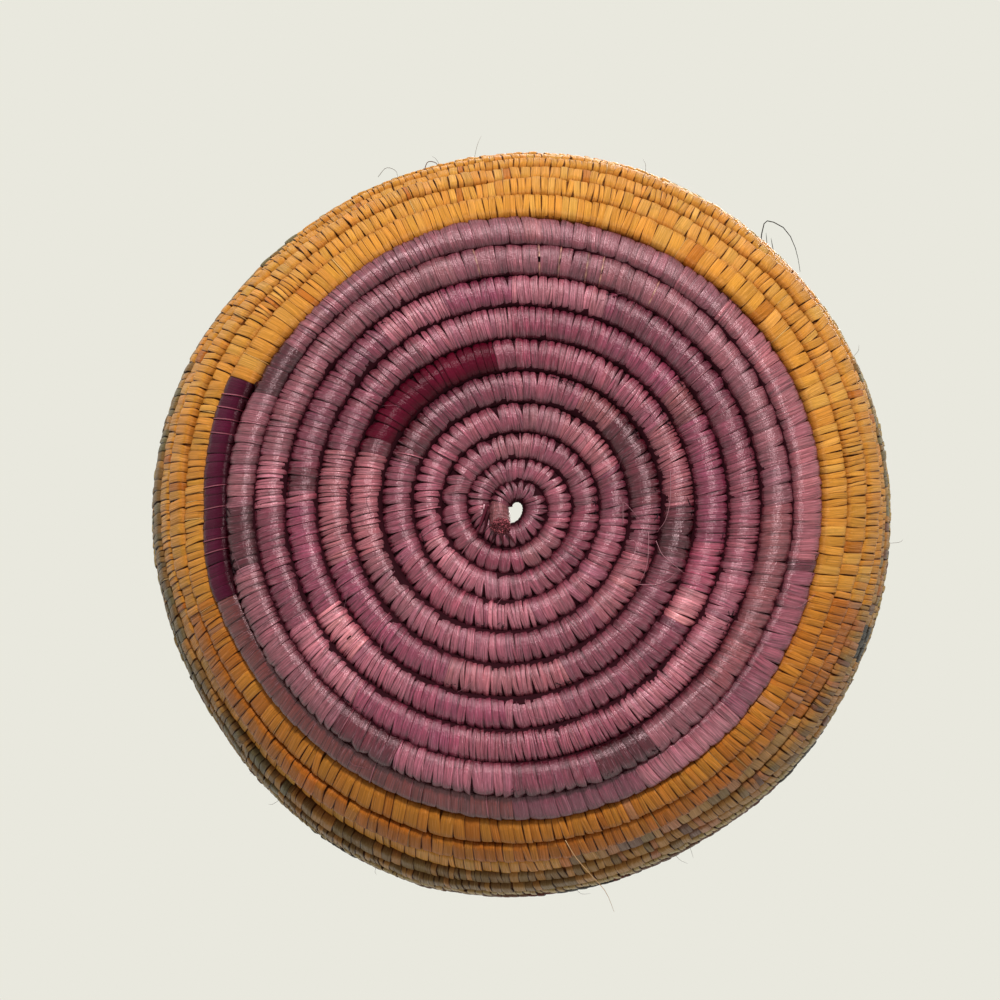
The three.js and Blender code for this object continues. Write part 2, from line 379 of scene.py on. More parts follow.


# %% [markdown]
# ## Laying out the wraps
# One loop walks along the coil and puts down wrap after wrap. Everything by which two wraps differ is
# drawn here from one seeded generator: width, lean, height, tilt, the corner that sticks out at the
# edge, and the shade. The last wrap of a run takes the room that is left. Here and there a hair-thin
# pale strip lies between two wraps, where the needle split a strip. In the plum run such strips lie
# much more often, and there they are painted highlights on the edges of the wraps. Six golden, dotted
# ones lie in the ninth row. The result is one array per quantity, which the next step turns into
# geometry.

# %% Widths of the wraps in the first wall rows: end of the stretch in turns, width in millimetres
wall_runs = [
    (10.125, 2.5), (10.32, 1.6), (10.46, 2.7), (10.50, 1.6), (10.54, 2.3), (10.75, 1.8), (10.83, 2.8),
    (10.875, 2.0), (10.93, 2.9), (10.95, 1.1), (11.06, 1.7), (11.10, 2.4), (11.13, 1.1), (11.30, 1.6),
    (11.38, 2.5), (11.45, 2.0), (11.49, 1.2), (11.54, 2.8), (11.69, 1.8), (11.80, 2.3), (12.00, 2.7),
]
print(len(wall_runs), "stretches")

# %% Wraps along the coil
rng = np.random.default_rng(11)
gold_turns = [8.232, 8.268, 8.285, 8.304, 8.312, 8.345]
end_turn = tail_start + tail_turns
leans = ([0, 9.5, 10, 12, 23], [8, 8, 5, 4, 2])
lean_spreads = ([0, 4, 9], [6, 3.5, 2])
lift_spreads = ([0, 7, 10, 11], [0.07, 0.06, 0.05, 0.1])
tilt_spreads = ([0, 7, 10], [0.05, 0.045, 0.04])
petals = ([0, 2, 4, 6, 8, 11], [0.7, 0.8, 0.6, 0.35, 0.15, 0.08])
least_width = 0.3
pale_strip_width = 0.3
gold_width = 0.42
pale_strip_lift = 0.12
# Past this turn nearly every plum wrap gets a pale strip, a painted highlight on its edge.
plum_glint_start = 10.035
laid = []


def add_wrap(turn, width, colour, lift=0.0, dotted=0.0):
    """Lays one wrap and draws the rest of it. Leans are listed in degrees, the others in millimetres."""
    laid.append({
        "turn": turn, "width": width, "colour": colour, "dotted": dotted,
        "lean": math.radians(np.interp(turn, *leans) + rng.normal(0, np.interp(turn, *lean_spreads))),
        "lift": lift + rng.normal(0, np.interp(turn, *lift_spreads)),
        "tilt": rng.normal(-0.06, np.interp(turn, *tilt_spreads)),
        "corner": rng.normal(0.32, 0.16) * rng.choice([-1, 1], p=[0.3, 0.7]),
        "petal": np.interp(turn, *petals) * rng.uniform(0.4, 1.6),
        "seed": rng.uniform(0, 500),
        "worn": rng.uniform(0, 1) ** 2,
    })


def split_or_glint_chance(turn, dye):
    """How often a pale split strip, in the plum run a painted highlight, lies before a wrap at this turn.
    """
    if dye != "plum":
        return 0.035
    return 0.9 if turn > plum_glint_start else 0.25


turn = 0.0
run_end = 0.0
while turn < end_turn - 0.0005:
    if turn < purple_turns:
        run_end, dye, width = next(base_run for base_run in base_runs if turn < base_run[0])
    else:
        dye = wall_dye(turn, rng.uniform())
        if turn >= run_end and turn < wall_runs[-1][0]:
            run_end, run_width = next(wall_run for wall_run in wall_runs if turn < wall_run[0])
        elif turn >= run_end:
            run_end, run_width = turn + rng.uniform(0.02, 0.1), rng.choice([1.4, 1.8, 2.2, 2.8])
        width = run_width
    width *= np.clip(rng.normal(1, 0.16), 0.65, 1.45)
    round_row = full_turn * float(path_at(turn)[0])
    if (run_end - turn) * round_row < 1.4 * width:
        width = max(least_width, (run_end - turn) * round_row)
    step = width / round_row
    middle = turn + step / 2
    spread = 0.08 if turn < purple_turns else 0.03
    shade = dye_colours[dye] * np.exp(rng.normal(0, spread)) * np.exp(rng.normal(0, 0.025, 3))
    add_wrap(middle, width, shade)
    if any(turn < gold < turn + step for gold in gold_turns):
        add_wrap(turn, gold_width, dye_colours["gold"], pale_strip_lift, 1.0)
    # A pale strip: a split strip, and in the plum run a painted highlight on the wrap edge.
    elif rng.uniform() < split_or_glint_chance(turn, dye) and width > 1.2:
        pale = 0.45 * dye_colours[dye] + 0.55 * dye_colours["pink" if turn < purple_turns else "straw"]
        add_wrap(turn, pale_strip_width, pale * 1.2, pale_strip_lift)
    turn = run_end if abs(turn + step - run_end) < 1e-6 else turn + step

wraps = {name: np.array([wrap[name] for wrap in laid]) for name in laid[0]}
lump_wraps = 9
lump_size = 0.16
lumps = rng.normal(0, 1, len(laid) + lump_wraps - 1)
wraps["lift"] += lump_size * np.convolve(lumps, np.ones(lump_wraps) / lump_wraps, "valid")
print(len(laid), "wraps, the widest", round(float(wraps["width"].max()), 1), "mm")

# %% [markdown]
# ## The shape of one wrap
# A wrap starts deep in the groove beside the row before, goes round the outside of the bundle, over its
# far edge, and back on the inside into the same groove. Nineteen stations follow it round, closer
# together on the outside, which is looked at most. At each station nine points cross the strip: the
# middle swells, the shoulders fall off, and both edges turn down on to the bundle. One edge lies on the
# wrap before it, as a roof tile does. Joined all round they make one closed band. A strip is as wide
# outside the bundle as inside, so the wraps crowd on the side of the middle and open like petals on the
# other. On the wall the wraps stand a hair apart. The first row of the wall is sewn deep into the last
# row of the base on some stretches, and bites over its edge there. Working on all wraps of a row at
# once, in arrays, takes a second or two for the whole basket.

# %% Stations round the bundle and points across the strip
outside_steps = 11
inside_steps = 7
stations = np.concatenate([
    np.linspace(math.pi, 0, outside_steps + 1),
    np.linspace(0, -math.pi, inside_steps + 1)[1:],
])
station_count = len(stations)
across_count = 9
inner_reach = ([3, 5, 9, 10], [1.04, 0.99, 0.99, 1.05])
outer_reach = ([9, 11], [1.1, 1.08])
row_tilt = ([0, 8, 10], [0.25, 0.25, 0])
strip_overlap = 0.2
wall_gaps = ([9.9, 10.2, 11.2], [0, 0.16, 0.28])
near_taper = ([9.5, 10.5], [0.2, 0.06])
far_taper = ([0, 4, 8, 10], [0.26, 0.22, 0.14, 0.08])
edge_sway = 0.12
shoulder_width = 0.18
edge_drop = 0.55
outside_inset = 0.08
crown = 0.55
shoulder_drop = 0.1
strip_swell = 0.04
print(station_count, "stations of", across_count, "points")


def rounded_box(angle, power):
    """A point on an oval that gets squarer as the power grows."""
    cosine, sine = np.cos(angle), np.sin(angle)
    return np.sign(cosine) * np.abs(cosine) ** (2 / power), np.sign(sine) * np.abs(sine) ** (2 / power)


# %% From wraps to points in space, with the bites of the first wall row in millimetres
squareness = ([0, 9, 10, 12], [2.0, 2.15, 3.4, 5.0])
bite_turns = [9.93, 9.97, 10.055, 10.097, 10.13, 10.153, 10.20, 10.23, 10.3, 10.375, 10.45,
              10.736, 10.764, 10.806, 10.861, 10.93, 10.99, 11.03]
bite_sizes = [0, 0.35, 0.4, 1.2, 1.6, 1.4, 0.65, 0.1, 0.4, 0.3, 0, 0, 0.5, 0.9, 1.05, 0.7, 0.4, 0]


def half_row_at(turn, cosine):
    """Half the width of a row, from its middle to its inner or to its outer side."""
    bite = np.interp(turn, bite_turns, bite_sizes)
    bitten = np.interp(turn + 1, bite_turns, bite_sizes)
    return (thickness_at(turn) + row_gap) / 2 + np.where(cosine < 0, bite, -bitten)


def place(turn, across, outward):
    """Points beside the path, from their turn and their offset along and out of the wall, in mm."""
    radius, height, slope, _ = path_at(turn)
    out, rise = coil_wobble(turn)
    radius = radius + out + across * np.cos(slope) + outward * np.sin(slope)
    height = np.maximum(0, height + rise + across * np.sin(slope) - outward * np.cos(slope))
    around = turn * full_turn
    return np.stack([radius * np.cos(around), radius * np.sin(around), height], axis=-1)


def per_wrap(name, some):
    """One quantity of the chosen wraps, shaped to spread over stations and points."""
    return wraps[name][some][:, None, None]


def wrap_points(some):
    """World points, strip coordinates and edge share of the chosen wraps, by station and across."""
    turn = per_wrap("turn", some)
    width = per_wrap("width", some)
    seed = per_wrap("seed", some)
    angle = stations[None, :, None]
    radius, _, slope, thickness = path_at(turn)
    outside = thickness / 2 * (1 - 2 * flat_depth / coil_thickness) - outside_inset
    depth = np.where(np.sin(angle) > 0, outside, thickness / 2)
    cosine, sine = rounded_box(angle, np.interp(turn, *squareness))
    reach = np.where(cosine < 0, np.interp(turn, *inner_reach), np.interp(turn, *outer_reach))
    half_row = half_row_at(turn, cosine) * reach * thickness / thickness_at(turn)

    size = np.minimum(1, width / 2)
    gap = np.interp(turn, *wall_gaps) * (0.4 + per_wrap("worn", some))
    half = (width + np.minimum(strip_overlap, 0.14 * width) - gap * size) / 2
    shoulder = np.minimum(shoulder_width, 0.45 * half) / half
    one = np.ones_like(half)
    flat = 1 - shoulder
    side = np.concatenate(
        [-one, -one, -flat, -crown * flat, 0 * one, crown * flat, flat, one, one], axis=2)
    swell = -strip_swell * np.array([0, 0, 0, 0.75, 1, 0.75, 0, 0, 0]) * np.minimum(2.2, width / 1.4)
    drops = np.array([edge_drop, shoulder_drop, 0, 0, 0, 0, 0, shoulder_drop, edge_drop])
    dip = drops * size + swell

    far_edge = np.maximum(0, np.cos(angle)) ** 3
    near_edge = np.exp(-(((math.pi - np.abs(angle)) / 0.5) ** 2))
    fan = np.clip(radius / (radius + half_row * cosine * np.cos(slope)), 0.6, 1.15)
    taper = np.interp(turn, *near_taper) * near_edge
    narrow = fan * (1 - taper - np.interp(turn, *far_taper) * far_edge ** 2)
    sway = edge_sway * np.sin(2 * angle + seed)
    slant = np.tan(per_wrap("lean", some)) * half_row * cosine
    along = half * side * narrow - slant + sway * np.minimum(1, width)
    lift = per_wrap("lift", some) + per_wrap("tilt", some) * side - dip
    corner = per_wrap("corner", some) * side * far_edge * size
    corner = corner + per_wrap("petal", some) * size * far_edge ** 2 * (0.6 - side ** 2)

    across = half_row * cosine + lift * np.cos(angle) + corner
    outward = depth * sine + lift * np.sin(angle) + np.interp(turn, *row_tilt) * cosine
    points = place(turn + along / (full_turn * radius), across, outward)
    length = (math.pi - angle) * (half_row + thickness / 2) / 2
    strip = np.stack(np.broadcast_arrays(half * side, length, seed), axis=-1)
    return points, strip, (np.abs(side) > 0.999) + 0 * along


# %% Faces of one band
def band_faces():
    faces = []
    for station in range(station_count - 1):
        for point in range(across_count):
            following = (point + 1) % across_count
            low = station * across_count
            high = low + across_count
            faces.append((low + point, low + following, high + following, high + point))
    last = (station_count - 1) * across_count
    faces.append(tuple(range(across_count - 1, -1, -1)))
    faces.append(tuple(range(last, last + across_count)))
    return faces


one_band = band_faces()
print("one wrap has", len(one_band), "faces")

# %% [markdown]
# ## Finishes
# The dye comes from the wrap's own shade, which also holds the painted shade of the groove. What the
# material adds is the leaf: fine fibres that run along the strip, creases, a few dull stains, and the
# sheen. Raffia is a waxy plant skin with an IOR near 1.5. The strips of the base are sleek, with a
# roughness near 0.34, while the orange and the undyed ones are dry and mirror less. The maroon and plum
# strips are the closed outer skin of the leaf: smoother still, with hardly a split fibre, and with a low
# mirror, so that their deep dye isn't greyed. On the others, pale lines are added to the colour: partly
# split fibres, partly painted glints. All fibres run across the coil, so they spread a lamp's reflection
# into a band that follows the coil right round, as brushed metal does. Part of that sheen comes back
# from inside the leaf, so it takes on some colour. Real fibres are about 0.1 mm apart, which is too
# fine to show, so they are drawn 0.33 mm apart.

# %% Helpers for materials
def add_node(tree, kind, settings, links):
    """Adds a node, sets its properties and sockets, and joins the sockets named in links."""
    node = tree.nodes.new(kind)
    for name, value in settings.items():
        if isinstance(name, str) and hasattr(node, name):
            setattr(node, name, value)
        else:
            node.inputs[name].default_value = value
    for name, source in links.items():
        tree.links.new(source, node.inputs[name])
    return node


def new_material(name):
    material = bpy.data.materials.new(name)
    material.use_nodes = True
    material.node_tree.nodes.clear()
    return material, material.node_tree


def noise_on_strip(tree, grain_width, grain_length, detail, roughness=0.5):
    """Noise whose grains have a real width and length on the strip, in millimetres."""
    strip = add_node(tree, "ShaderNodeAttribute", {"attribute_name": "strip"}, {})
    scaled = add_node(tree, "ShaderNodeVectorMath",
                      {"operation": "MULTIPLY", 1: (1 / grain_width, 1 / grain_length, 1.0)},
                      {0: strip.outputs["Vector"]})
    return add_node(tree, "ShaderNodeTexNoise", {"Scale": 1.0, "Detail": detail, "Roughness": roughness},
                    {"Vector": scaled.outputs[0]}).outputs["Fac"]


# %% Sewn strips of raffia
fibre_spacing = 0.33
fibre_length = 7.0
stain_size = 5.0
fleck_width = 0.22
fleck_length = 2.6
brushing = 0.9


def along_coil(tree):
    """The direction of the coil at each point, which lies square to the fibres of the strip."""
    here = add_node(tree, "ShaderNodeTexCoord", {}, {})
    level = add_node(tree, "ShaderNodeVectorMath", {"operation": "CROSS_PRODUCT", 0: (0.0, 0.0, 1.0)},
                     {1: here.outputs["Object"]})
    return add_node(tree, "ShaderNodeVectorTransform",
                    {"vector_type": "VECTOR", "convert_from": "OBJECT", "convert_to": "WORLD"},
                    {"Vector": level.outputs[0]}).outputs[0]


def raffia_strip(name, roughness, mirror, streaks, relief, stains, flecks_and_glints, fleck_colour):
    """Leaf strip: mirror, fibre contrast and bump, dull spots, and pale flecks: split fibres and painted
    glints.
    """
    material, tree = new_material(name)
    dye = add_node(tree, "ShaderNodeAttribute", {"attribute_name": "dye"}, {})
    fibres = noise_on_strip(tree, fibre_spacing, fibre_length, 3.0, 0.65)
    stain = noise_on_strip(tree, stain_size, stain_size, 5.0, 0.7)
    split = noise_on_strip(tree, fleck_width, fleck_length, 1.0)
    streak = add_node(tree, "ShaderNodeMapRange",
                      {"From Min": 0.3, "From Max": 0.7, "To Min": 1 - streaks, "To Max": 1 + streaks},
                      {"Value": fibres})
    dull = add_node(tree, "ShaderNodeMapRange",
                    {"From Min": 0.58, "From Max": 0.72, "To Min": 1.0, "To Max": 1 - stains},
                    {"Value": stain})
    fleck = add_node(tree, "ShaderNodeMapRange", {"From Min": 0.58, "From Max": 0.74, "To Max": flecks_and_glints},
                     {"Value": split})
    gloss = add_node(tree, "ShaderNodeMapRange",
                     {"From Min": 0.3, "From Max": 0.7, "To Min": roughness + 0.16,
                      "To Max": roughness - 0.1},
                     {"Value": fibres})
    shade = add_node(tree, "ShaderNodeMath", {"operation": "MULTIPLY"},
                     {0: streak.outputs[0], 1: dull.outputs[0]})
    dyed = add_node(tree, "ShaderNodeVectorMath", {"operation": "SCALE"},
                    {0: dye.outputs["Color"], "Scale": shade.outputs[0]})
    pale = linear(fleck_colour)
    # Pale flecks, partly split fibres and partly painted glints, are added to the colour.
    split_fibre_and_glint = add_node(tree, "ShaderNodeVectorMath", {"operation": "SCALE", 0: tuple(pale)},
                           {"Scale": fleck.outputs[0]})
    colour = add_node(tree, "ShaderNodeVectorMath", {"operation": "ADD"},
                      {0: dyed.outputs[0], 1: split_fibre_and_glint.outputs[0]})
    creases = add_node(tree, "ShaderNodeBump", {"Strength": 0.6 * relief, "Distance": 1.0 * mm},
                       {"Height": stain})
    bump = add_node(tree, "ShaderNodeBump", {"Strength": relief, "Distance": 0.25 * mm},
                    {"Height": fibres, "Normal": creases.outputs[0]})
    surface = add_node(tree, "ShaderNodeBsdfPrincipled",
                       {"IOR": 1.5, "Specular IOR Level": mirror, "Anisotropic": brushing,
                        "Specular Tint": (*np.sqrt(pale / pale.max()), 1.0)},
                       {"Base Color": colour.outputs[0], "Roughness": gloss.outputs[0],
                        "Normal": bump.outputs[0], "Tangent": along_coil(tree)})
    add_node(tree, "ShaderNodeOutputMaterial", {}, {"Surface": surface.outputs[0]})
    return material


# %% Slots of the record and their finishes
sleek = {"roughness": 0.34, "mirror": 0.85, "streaks": 0.75, "relief": 0.8, "stains": 0.3,
         "flecks_and_glints": 0.22, "fleck_colour": "#D8A8B8"}
leaf_skin = {"roughness": 0.26, "mirror": 0.16, "streaks": 0.3, "relief": 0.7, "stains": 0.15,
             "flecks_and_glints": 0.02, "fleck_colour": "#C9A0B0"}
dry = {"roughness": 0.52, "mirror": 0.28, "streaks": 0.28, "relief": 0.6, "stains": 0.3,
       "flecks_and_glints": 0.16, "fleck_colour": "#F0C890"}
undyed = {"roughness": 0.6, "mirror": 0.14, "streaks": 0.2, "relief": 0.6, "stains": 0.35,
          "flecks_and_glints": 0.12, "fleck_colour": "#E0CFA8"}
finishes = {
    "mauve_strand": raffia_strip("mauve dyed raffia", **sleek),
    "grey_mauve_strand": raffia_strip("grey mauve dyed raffia", **(sleek | {"stains": 0.35})),
    "rose_mauve_strand": raffia_strip("rose mauve dyed raffia", **sleek),
    "magenta_strand": raffia_strip("magenta dyed raffia", **sleek),
    "maroon_strand": raffia_strip("maroon raffia leaf skin", **leaf_skin),
    "plum_strand": raffia_strip("plum raffia leaf skin", **(leaf_skin | {"relief": 0.6})),
    "orange_strand": raffia_strip("orange dyed raffia", **dry),
    "khaki_strand": raffia_strip("undyed raffia", **undyed),
    "straw_strand": raffia_strip("pale undyed raffia", **undyed),
}
print(len(finishes), "finishes for sewn strips")

# %% [markdown]
# ## Meshes from arrays
# Every piece below ends as lists of points and faces, so one helper makes the mesh, gives it the two
# attributes that the finishes read, and lets it ride on the basket. The only body is the root.

# %% Helper that makes a piece
def make_piece(name, points, faces, colours, strips, material):
    mesh = bpy.data.meshes.new(name)
    mesh.from_pydata(points.reshape(-1, 3) * mm, [], faces, shade_flat=False)
    # The dye attribute carries each point's dye together with any painted shade.
    dye = mesh.color_attributes.new("dye", "FLOAT_COLOR", "POINT")
    rgba = np.ones((len(mesh.vertices), 4), np.float32)
    rgba[:, :3] = colours.reshape(-1, 3)
    dye.data.foreach_set("color", rgba.ravel())
    strip = mesh.attributes.new("strip", "FLOAT_VECTOR", "POINT")
    strip.data.foreach_set("vector", strips.astype(np.float32).ravel())
    mesh.materials.append(material)
    piece = bpy.data.objects.new(name, mesh)
    bpy.context.scene.collection.objects.link(piece)
    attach(piece, "root")
    return piece


def repeated(faces, copies, stride):
    """The same faces for each of many equal parts."""
    return [tuple(corner + copy * stride for corner in face) for copy in range(copies) for face in faces]


# %% [markdown]
# ## Sewn rows
# Each row of the frame gets its own piece, made of the wraps whose middle falls within it. The edges of a
# strip are darker, as dark joints between wraps. Down the flanks into the groove the colour is painted
# darker and redder, most of all on the side of the middle: that is painted shade. On the crest a worn wrap
# is paler. All of it is kept in the mesh as part of each strip's own colour.

# %% Where each piece of the coil begins
row_starts |= {
    "base_row_01": 0.0, "maroon_run": 5 + start_line, "base_row_06": maroon_end,
    "plum_run": plum_start, "rim_row": tail_start - 1, "rim_tail": tail_start,
}
slot_of = {part["node"]: part["material_slot"] for part in frame["record"]["subparts"]}
rows = sorted(row_starts, key=row_starts.get)
starts = [row_starts[row] for row in rows]
row_of_wrap = np.searchsorted(starts, wraps["turn"], side="right") - 1

# %% Sew the rows
edge_dye = 0.18
# How fast the painted shade of the groove fades towards the crest.
painted_shade_falloff = 0.9
dot_darkness = 0.6
crest_fading = 0.25
# Painted shade in the groove: the share of colour left on the near, inner side and on the far side, and the
# exponents that make darker colour redder.
base_painted_shade = {"near": 0.12, "far": 0.5, "reddening": np.array([1.0, 1.7, 1.45])}
wall_painted_shade = {"near": 0.65, "far": 0.75, "reddening": np.array([1.0, 1.4, 1.6])}
crest = np.sin(stations)[None, :, None] ** 2
every_other = (np.arange(station_count) % 2)[None, :, None]
for index, row in enumerate(rows):
    chosen = np.flatnonzero(row_of_wrap == index)
    points, strips, edge = wrap_points(chosen)
    groove = base_painted_shade if starts[index] < purple_turns - 0.01 else wall_painted_shade
    # Painted shade: the colour darkens down the flanks into the groove.
    darkest_painted_shade = np.where(np.cos(stations) > 0, groove["far"], groove["near"])[None, :, None]
    shade = 1 - (1 - edge_dye) * edge
    shade = shade * (darkest_painted_shade + (1 - darkest_painted_shade) * crest ** painted_shade_falloff)
    shade = shade * (1 - dot_darkness * per_wrap("dotted", chosen) * every_other)
    worn = 1 + crest_fading * per_wrap("worn", chosen) * crest ** 3
    colours = per_wrap("colour", chosen) * shade[..., None] ** groove["reddening"] * worn[..., None]
    faces = repeated(one_band, len(chosen), station_count * across_count)
    slot = slot_of[row]
    piece = make_piece(f"sewn_{row}", points, faces, colours, strips, finishes[slot])
    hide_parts(row)
    print(f"{row}: {len(chosen)} wraps")

# %% [markdown]
# ## The bundle inside
# Under the strips lies the bundle of grass stems. It shows only as a dark line between two wraps, but
# it closes every gap, so that no light leaks through the wall. It is one tube with shallow ridges. Its
# colour, near black wine under the base and dark brown under the wall, is painted shade for the gaps.

# %% Grass stems and loose fibre
ridge_width = 0.4
ridge_length = 5.0


def grass(name, pale, dark, roughness):
    """Dry grass stems with fine ridges along them."""
    material, tree = new_material(name)
    dye = add_node(tree, "ShaderNodeAttribute", {"attribute_name": "dye"}, {})
    ridges = noise_on_strip(tree, ridge_width, ridge_length, 4.0)
    mix = add_node(tree, "ShaderNodeMapRange",
                   {"From Min": 0.3, "From Max": 0.7, "To Min": dark, "To Max": pale},
                   {"Value": ridges})
    colour = add_node(tree, "ShaderNodeVectorMath", {"operation": "SCALE"},
                      {0: dye.outputs["Color"], "Scale": mix.outputs[0]})
    bump = add_node(tree, "ShaderNodeBump", {"Strength": 0.5, "Distance": 0.1 * mm}, {"Height": ridges})
    surface = add_node(tree, "ShaderNodeBsdfPrincipled",
                       {"Roughness": roughness, "IOR": 1.5, "Specular IOR Level": 0.12},
                       {"Base Color": colour.outputs[0], "Normal": bump.outputs[0]})
    add_node(tree, "ShaderNodeOutputMaterial", {}, {"Surface": surface.outputs[0]})
    return material


bundle_grass = grass("grass stems in painted shade", 1.2, 0.6, 0.8)
cut_grass = grass("cut grass stems", 1.25, 0.75, 0.7)
loose_fibre = grass("loose raffia fibre", 1.2, 0.8, 0.5)


# %% Closed tube through rings of points
def tube_faces(rings, sides):
    faces = [
        (ring * sides + side, ring * sides + (side + 1) % sides,
         (ring + 1) * sides + (side + 1) % sides, (ring + 1) * sides + side)
        for ring in range(rings - 1) for side in range(sides)
    ]
    faces.append(tuple(range(sides - 1, -1, -1)))
    faces.append(tuple(range((rings - 1) * sides, rings * sides)))
    return faces


# %% The bundle
core_sides = 12
core_steps = 72
core_inset = 0.34
core_outside_inset = 0.55
stem_round = 3
stem_turn = 90
core_reach = ([0, 3.5, 4.5, 10, 11, 20.5, 21.2], [0.5, 0.4, 0.3, 0.25, 0, 0, -0.5])
core_turns = np.linspace(0.01, end_turn - 0.004, int(end_turn * core_steps))[:, None]
core_angle = np.linspace(0, full_turn, core_sides + 1)[None, :-1]
core_thick = path_at(core_turns)[3]
core_cosine, core_sine = rounded_box(core_angle, np.interp(core_turns, *squareness))
core_half = half_row_at(core_turns, core_cosine) * core_thick / thickness_at(core_turns)
core_across = (core_half + np.interp(core_turns, *core_reach)) * core_cosine
core_outside = core_thick / 2 * (1 - 2 * flat_depth / coil_thickness) - core_outside_inset
core_out = np.where(core_sine > 0, core_outside, core_thick / 2 - core_inset) * core_sine
core_points = place(core_turns, core_across, core_out)
core_strip = np.stack(np.broadcast_arrays(core_angle * stem_round, core_turns * stem_turn, 0.0), axis=-1)
in_base = (core_turns < purple_turns)[..., None]
# Painted shade: the core is coloured near black wine under the base and dark brown under the wall, as the
# shade in the gaps between wraps.
core_shade_colour = np.where(in_base, linear("#2C0612"), linear("#6A3A14")) + 0 * core_points
make_piece("bundle_core", core_points, tube_faces(len(core_turns), core_sides), core_shade_colour, core_strip,
           bundle_grass)
print("bundle of", len(core_turns), "rings")

# %% [markdown]
# ## The cut start of the bundle
# Beside the middle hole the bundle's first end turns out of the base and is cut off short. A neck of
# fine fibre holds it, and its face shows the cut stems. It stands where the frame's own peg stands.

# %% Neck of the cut start
peg_low, peg_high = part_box("bundle_start")
peg_x = (peg_low.x + peg_high.x) / 2 / mm
peg_y = (peg_low.y + peg_high.y) / 2 / mm
neck_route = np.array([
    (peg_x + 1.0, peg_y + 6.6, 6.8),
    (peg_x + 0.8, peg_y + 4.7, 5.0),
    (peg_x + 0.5, peg_y + 2.9, 3.6),
    (peg_x + 0.3, peg_y + 1.2, 2.5),
    (peg_x + 0.1, peg_y - 0.1, 0.9),
])


def smooth_route(points, count):
    """Points spaced evenly along a smooth curve through the given ones."""
    padded = np.vstack([2 * points[0] - points[1], points, 2 * points[-1] - points[-2]])
    steps = np.linspace(0, 1, count) * (len(points) - 1)
    index = np.minimum(steps.astype(int), len(points) - 2)
    share = (steps - index)[:, None]
    before, start, end, after = (padded[index + offset] for offset in range(4))
    bend = 2 * before - 5 * start + 4 * end - after
    twist = 3 * start - before - 3 * end + after
    return 0.5 * (2 * start + (end - before) * share + bend * share ** 2 + twist * share ** 3)


def rings_along(route, radii, sides, flat=1.0):
    """Rings of points round a route, each square to it, and flattened if need be."""
    ahead = np.gradient(route, axis=0)
    ahead /= np.linalg.norm(ahead, axis=1)[:, None]
    side = np.cross(ahead, (0.3, 0.2, 1.0))
    side /= np.linalg.norm(side, axis=1)[:, None]
    up = np.cross(side, ahead)
    angle = np.linspace(0, full_turn, sides + 1)[:-1]
    ring = side[:, None] * np.cos(angle)[None, :, None] + up[:, None] * flat * np.sin(angle)[None, :, None]
    return route[:, None] + ring * np.asarray(radii)[:, None, None]


neck_radius = 2.5
neck_sides = 24
neck_length = 8
neck_wraps = 8
neck_groove = 0.06
wrap_rings = 6
neck_rings = neck_wraps * wrap_rings + 1
neck_line = smooth_route(neck_route, neck_rings)
groove = np.abs(np.sin(np.linspace(0, neck_wraps * math.pi, neck_rings)))
neck_shape = np.interp(np.linspace(0, 1, neck_rings), [0, 0.8, 1], [0.92, 1, 0.93])
neck_radii = neck_radius * neck_shape - neck_groove * (1 - groove) ** 3
neck_points = rings_along(neck_line, neck_radii, neck_sides)
neck_points[..., 2] = np.maximum(0.02, neck_points[..., 2])
neck_tone = np.repeat(rng.normal(1, 0.12, neck_wraps + 1), wrap_rings)[:neck_rings]
# Painted shade: the neck is coloured darker towards the groove between its wraps.
neck_dye_and_shade = linear("#80494E") * (neck_tone * (0.6 + 0.4 * groove))[:, None, None] + 0 * neck_points
neck_round = np.linspace(0, full_turn * neck_radius, neck_sides)
neck_along = np.linspace(0, neck_length, neck_rings)[:, None]
neck_strip = np.stack(np.broadcast_arrays(neck_round, neck_along, 0.0), axis=-1)
make_piece("bundle_start_neck", neck_points, tube_faces(neck_rings, neck_sides), neck_dye_and_shade, neck_strip,
           finishes["mauve_strand"])

# %% Cut stems
stem_radius = 0.21
stem_sides = 7
face_normal = neck_line[-1] - neck_line[-4]
face_normal /= np.linalg.norm(face_normal)
face_side = np.cross(face_normal, (0, 0, 1))
face_side /= np.linalg.norm(face_side)
face_up = np.cross(face_side, face_normal)
stem_points, stem_dye_and_shade, stem_strip = [], [], []
golden = math.pi * (3 - math.sqrt(5))
stem_count = 76
for stem in range(stem_count):
    reach = (neck_radius - 0.25) * math.sqrt((stem + 0.5) / stem_count)
    aim = face_side * math.cos(stem * golden) + face_up * math.sin(stem * golden)
    middle = neck_line[-1] + reach * aim
    splay = face_normal + 0.25 * reach / neck_radius * (middle - neck_line[-1]) / max(reach, 0.1)
    top = middle + splay * rng.uniform(0.05, 0.5)
    route = np.array([middle - 1.2 * face_normal, middle, top - 0.04 * splay, top])
    size = stem_radius * rng.uniform(0.75, 1.25)
    stem_points.append(rings_along(route, [size, size, size, size * 0.75], stem_sides))
    tone = linear("#B8606C") * rng.uniform(0.2, 1.2)
    # Painted shade: each stem is coloured darker where it goes down among the others.
    stem_dye_and_shade.append(np.array([0.15, 0.3, 1, 1])[:, None, None] * tone + 0 * stem_points[-1])
    stem_strip.append(0 * stem_points[-1] + rng.uniform(0, 50))
stems = np.array(stem_points)
stems[..., 2] = np.maximum(0.0, stems[..., 2])
faces = repeated(tube_faces(4, stem_sides), stem_count, 4 * stem_sides)
cut_start = make_piece("bundle_start_cut_stems", stems, faces, np.array(stem_dye_and_shade), np.array(stem_strip),
                       cut_grass)
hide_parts("bundle_start")
print(stem_count, "cut stems")

